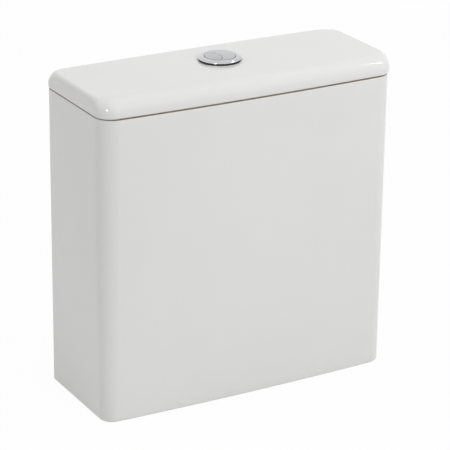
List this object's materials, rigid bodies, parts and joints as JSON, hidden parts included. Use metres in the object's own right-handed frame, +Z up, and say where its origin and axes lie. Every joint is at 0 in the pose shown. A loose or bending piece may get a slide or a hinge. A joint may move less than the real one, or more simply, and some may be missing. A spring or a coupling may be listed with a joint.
{
  "type": "toilet cistern",
  "caption": "Glazed ceramic close-coupled toilet cistern with lift-off lid, round dual flush push button, flush valve and fill valve.",
  "frame": {"origin": "middle of the base, on the plane the cistern stands on", "axes": "+X to the right seen from the front, +Y towards the wall behind, +Z up"},
  "size_m": [0.372, 0.149, 0.3865],
  "materials": {
    "glaze": "high gloss white glaze",
    "chrome_ring": "satin chrome plating",
    "chrome_button": "polished chrome plating",
    "dark_rubber": "matte black rubber",
    "red_rubber": "soft red rubber",
    "white_plastic": "moulded",
    "grey_plastic": "moulded",
    "blue_plastic": "moulded",
    "spring_steel": "drawn stainless steel"
  },
  "bodies": {
    "tank": {"cistern_tank": "glaze", "valve_base": "white_plastic", "base_washer": "dark_rubber", "valve_backnut": "grey_plastic", "coupling_gasket": "dark_rubber", "valve_cage": "white_plastic", "valve_head": "blue_plastic", "full_lever_pin": "spring_steel", "half_lever_pin": "spring_steel", "fill_riser": "white_plastic", "inlet_filter": "grey_plastic", "shank_washer": "dark_rubber", "fill_backnut": "grey_plastic", "fill_valve_head": "white_plastic", "discharge_tube": "grey_plastic", "diaphragm": "red_rubber", "fill_valve_cap": "grey_plastic", "float_lever_pin": "spring_steel"},
    "lid": {"cistern_lid": "glaze", "button_bezel": "chrome_ring", "bezel_gasket": "dark_rubber", "bezel_locknut": "white_plastic", "button_carrier": "white_plastic"},
    "full_button": {"full_flush_button": "chrome_button", "full_flush_rod": "blue_plastic", "full_button_spring": "spring_steel"},
    "half_button": {"half_flush_button": "chrome_button", "half_flush_rod": "blue_plastic", "half_button_spring": "spring_steel"},
    "full_lever": {"full_lift_lever": "white_plastic"},
    "spindle": {"overflow_tube": "white_plastic", "flush_seal": "red_rubber", "seal_retainer": "grey_plastic", "full_flush_float": "grey_plastic", "lift_yoke": "blue_plastic"},
    "half_lever": {"half_lift_lever": "white_plastic"},
    "half_float": {"half_flush_sleeve": "blue_plastic", "half_flush_float": "grey_plastic"},
    "float": {"float_cup": "grey_plastic", "float_rod": "white_plastic", "float_clip": "spring_steel"},
    "float_arm": {"float_lever": "blue_plastic"}
  },
  "joints": [
    {"name": "lid_lift", "type": "slide", "parent": "tank", "child": "lid", "axis": [0, 0, 1], "range_m": [0, 0.12]},
    {"name": "full_flush_press", "type": "slide", "parent": "lid", "child": "full_button", "axis": [0, 0, -1], "range_m": [0, 0.008], "stiffness_N_per_m": 300, "springref_m": -0.004, "deforming": ["full_button_spring"]},
    {"name": "half_flush_press", "type": "slide", "parent": "lid", "child": "half_button", "axis": [0, 0, -1], "range_m": [0, 0.008], "stiffness_N_per_m": 300, "springref_m": -0.004, "deforming": ["half_button_spring"]},
    {"name": "full_lever_swing", "type": "hinge", "parent": "tank", "child": "full_lever", "pos_m": [-0.006, 0.0015, 0.305], "axis": [0, 1, 0], "range_deg": [0, 30.5]},
    {"name": "spindle_lift", "type": "slide", "parent": "tank", "child": "spindle", "axis": [0, 0, 1], "range_m": [0, 0.0125]},
    {"name": "half_lever_swing", "type": "hinge", "parent": "tank", "child": "half_lever", "pos_m": [0.006, 0.0115, 0.305], "axis": [0, -1, 0], "range_deg": [0, 30.5]},
    {"name": "half_float_lift", "type": "slide", "parent": "tank", "child": "half_float", "axis": [0, 0, 1], "range_m": [0, 0.0125]},
    {"name": "float_rise", "type": "slide", "parent": "tank", "child": "float", "axis": [0, 0, 1], "range_m": [0, 0.014]},
    {"name": "float_lever_swing", "type": "hinge", "parent": "tank", "child": "float_arm", "pos_m": [0.131, 0.0065, 0.284], "axis": [0, 1, 0], "range_deg": [0, 19.6]}
  ],
  "couplings": [
    {"joint": "full_lever_swing", "follows": "full_flush_press", "rad_per_m": 66.54},
    {"joint": "spindle_lift", "follows": "full_flush_press", "ratio": 1.55},
    {"joint": "half_lever_swing", "follows": "half_flush_press", "rad_per_m": 66.54},
    {"joint": "half_float_lift", "follows": "half_flush_press", "ratio": 1.55},
    {"joint": "float_lever_swing", "follows": "float_rise", "rad_per_m": 24.434}
  ]
}
